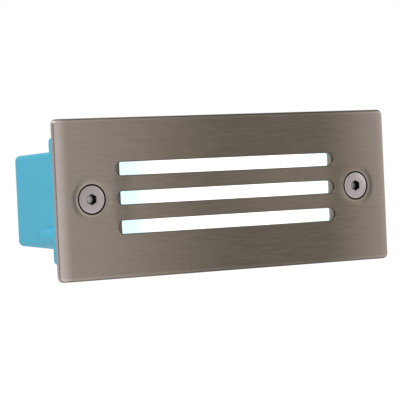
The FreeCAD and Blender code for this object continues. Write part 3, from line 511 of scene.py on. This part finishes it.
def middles(boxes):
    """X and Z of each box's middle, where a turned piece has its axis."""
    return [((low.x + high.x) / 2, (low.z + high.z) / 2) for low, high in boxes]


def turned(name, rings, places, finishes, bands=None, segments=96):
    """Pieces turned about lines along Y through the places.

    A ring is (radius, y), and its radius may be a function of the angle and y. The bands give the
    finish of the surface that follows each ring.
    """
    work = bmesh.new()
    for x, z in places:
        loops = []
        for radius, y in rings:
            loop = []
            for step in range(segments):
                angle = TURN * step / segments
                reach = radius(angle, y) if callable(radius) else radius
                corner = (x + reach * math.cos(angle), y, z + reach * math.sin(angle))
                loop.append(work.verts.new(corner))
            loops.append(loop)
        for index, (near, far) in enumerate(zip(loops, loops[1:])):
            for step in range(segments):
                after = (step + 1) % segments
                face = work.faces.new((near[step], near[after], far[after], far[step]))
                face.smooth = True
                face.material_index = bands[index] if bands else 0
    bmesh.ops.remove_doubles(work, verts=work.verts, dist=MERGE)
    bmesh.ops.dissolve_degenerate(work, edges=work.edges, dist=SLIVER)
    bmesh.ops.recalc_face_normals(work, faces=work.faces)
    mesh = bpy.data.meshes.new(name)
    work.to_mesh(mesh)
    work.free()
    mesh.set_sharp_from_angle(angle=SHARP_ANGLE)
    for finish in finishes:
        mesh.materials.append(FINISHES[finish])
    return add_object(name, mesh)


def stand_for(piece, body, slot, *nodes):
    """The piece moves with the body and takes the place of the CAD nodes."""
    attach(piece, body)
    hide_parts(*nodes)


def hexagon(across_flats):
    """Radius of a hexagon that has a corner at the top."""
    def reach(angle, y):
        from_flat = (angle + TURN / 12) % (TURN / 6) - TURN / 12
        return across_flats / 2 / math.cos(from_flat)
    return reach


def turned_hexagon(across_flats, start, end):
    """Rings of a hexagon whose corners are turned off at both ends."""
    flat = hexagon(across_flats)
    bevel = across_flats * 0.045
    face = across_flats * 0.485
    slope = 1.7

    def reach(angle, y):
        return min(flat(angle, y), face + slope * min(y - start, end - y))

    steps = [start + bevel * k / 4 for k in range(5)]
    return [(reach, y) for y in steps] + [(reach, start + end - y) for y in reversed(steps)]


def square(half):
    """Radius of a square."""
    def reach(angle, y):
        return half / max(abs(math.cos(angle)), abs(math.sin(angle)))
    return reach


def cross(arm, half_width):
    """Radius of a cross recess."""
    def reach(angle, y):
        narrow, wide = sorted((abs(math.cos(angle)), abs(math.sin(angle))))
        return min(arm / wide, half_width / max(narrow, NO_DIVISOR))
    return reach


def slit(half_length, half_width):
    """Radius of a slot that lies along X."""
    def reach(angle, y):
        along = max(abs(math.cos(angle)), NO_DIVISOR)
        across = max(abs(math.sin(angle)), NO_DIVISOR)
        return min(half_length / along, half_width / across)
    return reach


def thread(radius, depth, pitch, start, end, samples=8):
    """Rings of a right-hand thread with flat crests and roots."""
    def reach(angle, y):
        phase = (y / pitch + angle / TURN) % 1.0
        from_crest = abs(2 * phase - 1)
        flank = min(max(1.6 * from_crest - 0.3, 0.0), 1.0)
        return radius - depth * flank
    count = round((end - start) / pitch * samples)
    return [(reach, start + (end - start) * k / count) for k in range(count + 1)]


def dome(radius, start, mouth, end, steps=8):
    """Rings of a quarter ellipse from the full radius at start to the mouth at end."""
    rings = []
    for k in range(steps + 1):
        angle = math.pi / 2 * k / steps
        reach = mouth + (radius - mouth) * math.cos(angle)
        rings.append((reach, start + (end - start) * math.sin(angle)))
    return rings


# ---------------------------------------------------------------- screws and nuts
def cover_screw(side):
    """Countersunk socket screw with a neck for its retaining ring and a cut thread."""
    low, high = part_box(side + "_cover_screw")
    ring_low, ring_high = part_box(side + "_retaining_ring")
    top, tip = low.y, high.y
    head = (high.x - low.x) / 2
    neck = SCREW_RADIUS - 0.4 * MM
    neck_start = ring_low.y - GROOVE_GAP
    neck_end = ring_high.y + GROOVE_GAP
    flat = hexagon(SOCKET)
    wide = hexagon(SOCKET + SOCKET_CHAMFER)
    rings = [
        (0, top + 3.2 * MM),
        (1.9 * MM, top + SOCKET_DEPTH),
        (flat, top + SOCKET_DEPTH),
        (flat, top + 0.18 * MM),
        (wide, top),
        (head - 0.22 * MM, top),
        (head - 0.06 * MM, top + 0.05 * MM),
        (head, top + 0.14 * MM),
        (head - 0.2 * MM, top + 0.3 * MM),
        (SCREW_RADIUS, top + head - SCREW_RADIUS + 0.1 * MM),
        (SCREW_RADIUS, neck_start),
        (neck, neck_start),
        (neck, neck_end),
    ]
    rings += thread(SCREW_RADIUS, SCREW_THREAD, SCREW_PITCH, neck_end, tip - 0.5 * MM)
    rings += [(SCREW_RADIUS - 0.7 * MM, tip), (0, tip)]
    piece = turned(side + "_screw_detail", rings, middles([(low, high)]), ["screw_steel"])
    stand_for(piece, side + "_screw", "screw_steel", side + "_cover_screw")


def pan_screws(node_name, finish, shank, head_height, head_first):
    """Pan-head screws with a cross recess. Their heads point to -Y where head_first, else to +Y."""
    boxes = solids(node_name)
    low, high = boxes[0]
    head = (high.x - low.x) / 2
    length = high.y - low.y
    recess = cross(head * 0.6, head * 0.14)
    by_depth = [
        (0, head_height * 0.9),
        (cross(head * 0.25, head * 0.08), head_height * 0.8),
        (recess, head_height * 0.1),
        (head * 0.72, 0),
        (head * 0.90, head_height * 0.12),
        (head, head_height * 0.5),
        (head, head_height),
        (shank, head_height),
        (shank, length - shank * 0.4),
        (shank * 0.6, length),
        (0, length),
    ]
    rings = [
        (radius, low.y + depth if head_first else high.y - depth)
        for radius, depth in by_depth
    ]
    piece = turned(node_name + "_detail", rings, middles(boxes), [finish], segments=48)
    stand_for(piece, BOX, finish, node_name)


def nuts(node_name, body, finish, bore):
    """Hexagon nuts with turned-off corners."""
    boxes = solids(node_name)
    low, high = boxes[0]
    across_flats = high.x - low.x
    rings = [(bore, low.y)]
    rings += turned_hexagon(across_flats, low.y, high.y)
    rings += [(bore, high.y), (bore, low.y)]
    piece = turned(node_name + "_detail", rings, middles(boxes), [finish])
    stand_for(piece, body, finish, node_name)


# ---------------------------------------------------------------- cable entries
def entry_thread(start, end):
    return thread(ENTRY_RADIUS, ENTRY_THREAD, ENTRY_PITCH, start, end)


def gland_body():
    """Hollow gland body: a thread through the wall, a hexagon, and a thread for the cap nut."""
    low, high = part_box("gland_body")
    collar = WASHER_BACK + COLLAR
    rings = [(GLAND_BORE, low.y), (ENTRY_TIP, low.y)]
    rings += entry_thread(low.y + ENTRY_LEAD, WASHER_BACK)
    rings += turned_hexagon(ENTRY_NUT, WASHER_BACK, collar)
    rings += entry_thread(collar, high.y - ENTRY_LEAD)
    rings += [
        (ENTRY_TIP, high.y),
        (GLAND_SEAT, high.y),
        (GLAND_SEAT, collar),
        (GLAND_BORE, collar),
        (GLAND_BORE, low.y),
    ]
    piece = turned("gland_body_detail", rings, middles([(low, high)]), ["black_nylon"])
    stand_for(piece, BOX, "black_nylon", "gland_body")


def gland_cap_nut():
    """Hexagon with a rounded dome over the seal."""
    low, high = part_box("gland_cap_nut")
    flats = low.y + CAP_FLATS
    washer_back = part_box("gland_slip_washer")[1].y + 0.1 * MM
    thread_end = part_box("gland_body")[1].y + 0.6 * MM
    bore = ENTRY_RADIUS + ENTRY_GAP
    cavity = GLAND_SEAT + 0.4 * MM
    waist = ENTRY_NUT / 2 - 0.6 * MM
    rings = [(bore, low.y)] + turned_hexagon(ENTRY_NUT, low.y, flats)
    rings += dome(waist, flats + 2.0 * MM, CAP_MOUTH + 0.9 * MM, high.y)
    rings += [
        (CAP_MOUTH, high.y - 0.5 * MM),
        (CAP_MOUTH, washer_back),
        (cavity, washer_back),
        (cavity, thread_end),
        (bore, thread_end),
        (bore, low.y),
    ]
    piece = turned("gland_cap_nut_detail", rings, middles([(low, high)]), ["black_nylon"])
    stand_for(piece, "gland_nut", "black_nylon", "gland_cap_nut")


def blanking_plug():
    """Plug with a rounded head, a coin slot and a hollow threaded shank."""
    low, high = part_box("blanking_plug")
    head = (high.x - low.x) / 2
    bore = ENTRY_RADIUS - 2.0 * MM
    edge = high.y - PLUG_EDGE
    opening = slit(8.0 * MM, 1.0 * MM)
    rings = [
        (0, WASHER_BACK),
        (bore, WASHER_BACK),
        (bore, low.y),
        (ENTRY_TIP, low.y),
    ]
    rings += entry_thread(low.y + ENTRY_LEAD, WASHER_BACK)
    rings += [(head, WASHER_BACK), (head, edge)]
    rings += dome(head, edge, head - PLUG_EDGE, high.y)
    rings += [(opening, high.y), (opening, edge), (0, edge)]
    piece = turned("blanking_plug_detail", rings, middles([(low, high)]), ["black_nylon"])
    stand_for(piece, BOX, "black_nylon", "blanking_plug")


# ---------------------------------------------------------------- light source and driver
def led_packages():
    """White frames, each with a round pool of phosphor."""
    boxes = solids("leds")
    low, high = boxes[0]
    half = (high.x - low.x) / 2
    rings = [
        (0, high.y),
        (square(half), high.y),
        (square(half), low.y + 0.25 * MM),
        (square(half * 0.92), low.y),
        (half * 0.78, low.y),
        (half * 0.72, low.y + 0.22 * MM),
        (0, low.y + 0.16 * MM),
    ]
    finishes = ["white_plastic", "led_package"]
    piece = turned("led_packages", rings, middles(boxes), finishes, [0, 0, 0, 0, 0, 1], 32)
    stand_for(piece, BOX, "led_package", "leds")


def capacitors():
    """Sleeved cans with a crimp near the board and a bare top."""
    boxes = solids("driver_capacitors")
    low, high = boxes[0]
    can = (high.x - low.x) / 2
    rings = [
        (0, low.y),
        (can * 0.92, low.y),
        (can, low.y + 0.4 * MM),
        (can, low.y + 1.7 * MM),
        (can * 0.88, low.y + 2.1 * MM),
        (can, low.y + 2.5 * MM),
        (can, high.y - 0.5 * MM),
        (can * 0.94, high.y),
        (can * 0.84, high.y),
        (can * 0.80, high.y - 0.25 * MM),
        (cross(can * 0.6, can * 0.05), high.y - 0.25 * MM),
        (cross(can * 0.55, can * 0.02), high.y - 0.4 * MM),
        (0, high.y - 0.4 * MM),
    ]
    finishes = ["capacitor_sleeve", "aluminium"]
    piece = turned("driver_capacitor_cans", rings, middles(boxes), finishes, [0] * 8 + [1] * 4, 64)
    stand_for(piece, BOX, "capacitor_sleeve", "driver_capacitors")


def choke():
    """Drum core with a winding of round wire between its flanges."""
    low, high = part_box("driver_choke")
    radius = (high.x - low.x) / 2
    near = low.y + CHOKE_FLANGE
    far = high.y - CHOKE_FLANGE
    core = radius - CHOKE_FLANGE
    rings = [(0, low.y), (radius, low.y), (radius, near), (core, near)]
    start = len(rings) - 1
    rings += thread(radius - 0.6 * MM, CHOKE_WIRE * 0.5, CHOKE_WIRE, near, far, 6)
    end = len(rings)
    rings += [(core, far), (radius, far), (radius, high.y), (0, high.y)]
    bands = [1 if start <= index < end else 0 for index in range(len(rings))]
    piece = turned("driver_choke_detail", rings, middles([(low, high)]), ["ferrite", "brass"], bands, 48)
    stand_for(piece, BOX, "ferrite", "driver_choke")


# ---------------------------------------------------------------- studio
def camera():
    """The photograph's camera, from its place and three angles."""
    right = Vector((math.cos(CAMERA_YAW), -math.sin(CAMERA_YAW), 0))
    ahead = Vector((
        math.sin(CAMERA_YAW) * math.cos(CAMERA_PITCH),
        math.cos(CAMERA_YAW) * math.cos(CAMERA_PITCH),
        math.sin(CAMERA_PITCH),
    ))
    up = right.cross(ahead)
    rolled_right = right * math.cos(CAMERA_ROLL) + up * math.sin(CAMERA_ROLL)
    rolled_up = up * math.cos(CAMERA_ROLL) - right * math.sin(CAMERA_ROLL)
    data = bpy.data.cameras.new("camera")
    data.lens = CAMERA_LENS
    data.sensor_width = SENSOR
    made = add_object("camera", data)
    turn = Matrix((rolled_right, rolled_up, -ahead)).transposed().to_4x4()
    made.matrix_world = Matrix.Translation(CAMERA_PLACE) @ turn
    bpy.context.scene.camera = made


def is_seen(tree):
    """1 for rays from the camera, from glossy surfaces and through clear ones."""
    path = node(tree, "ShaderNodeLightPath")
    kinds = ("Is Camera Ray", "Is Glossy Ray", "Is Transmission Ray")
    return reduced(tree, [path.outputs[kind] for kind in kinds], "MAXIMUM")


def world():
    """Plain white where it is seen, and dimmer as a light on the object."""
    made = bpy.data.worlds.new("studio")
    made.use_nodes = True
    tree = made.node_tree
    background = tree.nodes["Background"]
    strength = node(tree, "ShaderNodeMapRange", {"To Min": WORLD_LIGHT, "To Max": 1.0})
    join(tree, is_seen(tree), strength.inputs["Value"])
    join(tree, strength.outputs["Result"], background.inputs["Strength"])
    background.inputs["Color"].default_value = (1, 1, 1, 1)
    bpy.context.scene.world = made


def floor():
    """Pale floor that keeps the object's shadow."""
    material, tree, bsdf = new_material("floor_paint")
    bsdf.inputs["Roughness"].default_value = 0.9
    bsdf.inputs["Specular IOR Level"].default_value = 0.1
    cloud = spread(tree, noise(tree, 3.0), 0.0, 1.0)
    shade = blend_colour(tree, cloud, scaled(FLOOR_COLOUR[:3], 0.98), FLOOR_COLOUR)
    join(tree, shade, bsdf.inputs["Base Color"])
    lift = node(tree, "ShaderNodeMath", operation="MULTIPLY")
    join(tree, is_seen(tree), lift.inputs[0])
    lift.inputs[1].default_value = FLOOR_LIFT
    bsdf.inputs["Emission Color"].default_value = (1, 1, 1, 1)
    join(tree, lift.outputs[0], bsdf.inputs["Emission Strength"])
    mesh = bpy.data.meshes.new("floor")
    half = FLOOR_SIZE / 2
    corners = [(-half, -half, 0), (half, -half, 0), (half, half, 0), (-half, half, 0)]
    mesh.from_pydata(corners, [], [(0, 1, 2, 3)])
    mesh.materials.append(material)
    made = add_object("floor", mesh)
    made.location = (0, 0, cad_box[0][2] - FLOOR_DROP)


def lamp(name, place, target, size, power):
    data = bpy.data.lights.new(name, "AREA")
    data.size = size
    data.energy = power
    made = add_object(name, data)
    place = Vector(place)
    made.location = place
    made.rotation_euler = (Vector(target) - place).to_track_quat("-Z", "Y").to_euler()


def lamps():
    middle = (0, 0.02, 0)
    lamp("key", (-1.1, -0.3, 1.4), middle, size=1.2, power=22.5)
    lamp("fill", (1.2, -0.6, 0.5), middle, size=1.0, power=5.0)


bpy.context.scene.view_settings.view_transform = "Standard"
dress_nodes()
for side in ("left", "right"):
    cover_screw(side)
for screws, shank, head_height, head_first in (
    ("led_board_screws", 1.5 * MM, 1.8 * MM, True),
    ("gear_plate_screws", 1.5 * MM, 1.8 * MM, True),
    ("driver_screws", 1.25 * MM, 1.5 * MM, False),
    ("terminal_fixing_screws", 1.2 * MM, 1.2 * MM, False),
):
    pan_screws(screws, "zinc_steel", shank, head_height, head_first)
nuts("lens_nuts", "cover", "zinc_steel", bore=1.55 * MM)
nuts("entry_locknuts", BOX, "black_nylon", bore=ENTRY_RADIUS + ENTRY_GAP)
gland_body()
gland_cap_nut()
blanking_plug()
led_packages()
capacitors()
choke()
camera()
world()
floor()
lamps()
